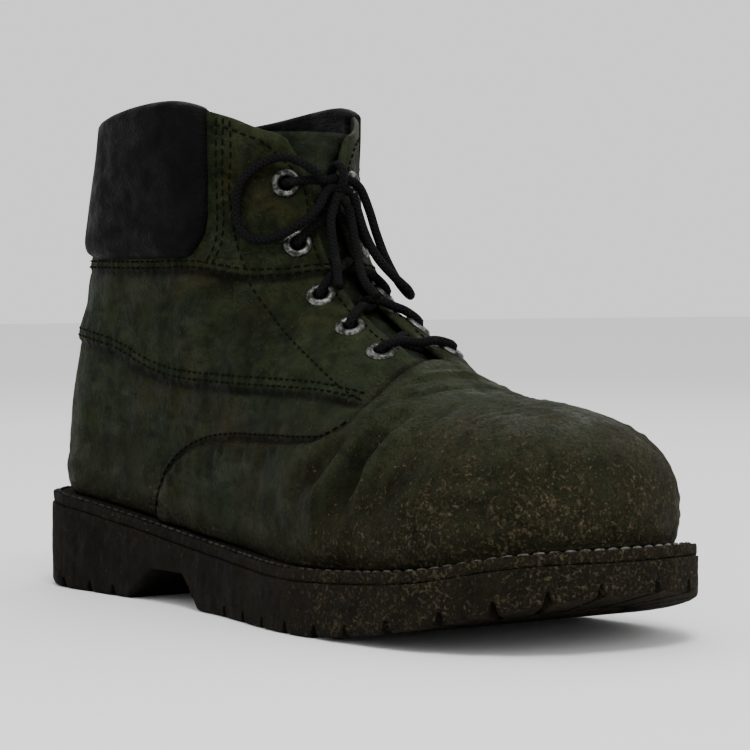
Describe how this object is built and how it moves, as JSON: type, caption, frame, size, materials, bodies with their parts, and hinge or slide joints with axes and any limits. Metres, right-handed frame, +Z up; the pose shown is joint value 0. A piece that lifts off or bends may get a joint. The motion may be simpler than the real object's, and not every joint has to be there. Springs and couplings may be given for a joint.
{
  "type": "work boot",
  "caption": "Muddy lace-up leather work boot for the right foot, with a padded ankle collar, worn metal lace eyelets, a tied bow and a thick lugged rubber sole",
  "frame": {"origin": "on the floor, under the middle of the sole's length and width, so at the bottom centre of the bounding box", "axes": "+X from heel to toe, +Y to the medial (inner) side, -Y to the lateral (outer) side, +Z up"},
  "size_m": [0.312, 0.1148, 0.1773],
  "materials": {
    "outsole": "dark grey moulded rubber under dried brown mud",
    "welt": "dark grey rubber strip, muddy, with pale stitching",
    "insole": "matt dark lining cloth",
    "upper": "dark olive oiled leather, creased, worn and muddy",
    "collar_pad": "soft black leather over foam",
    "tongue": "dark olive leather, scuffed",
    "lace": "round braided cord, dark grey and dusty",
    "eyelet": "worn steel with bright rims and dark grime"
  },
  "bodies": {
    "root": {"outsole": "outsole", "welt": "welt", "insole": "insole", "upper": "upper", "collar_pad": "collar_pad", "tongue": "tongue", "lace_crossings": "lace", "lace_knot": "lace", "lace_loop_lateral": "lace", "lace_loop_medial": "lace", "lace_end_lateral": "lace", "lace_end_medial": "lace", "eyelet_lateral_1": "eyelet", "eyelet_lateral_2": "eyelet", "eyelet_lateral_3": "eyelet", "eyelet_lateral_4": "eyelet", "eyelet_lateral_5": "eyelet", "eyelet_medial_1": "eyelet", "eyelet_medial_2": "eyelet", "eyelet_medial_3": "eyelet", "eyelet_medial_4": "eyelet", "eyelet_medial_5": "eyelet"}
  },
  "joints": []
}
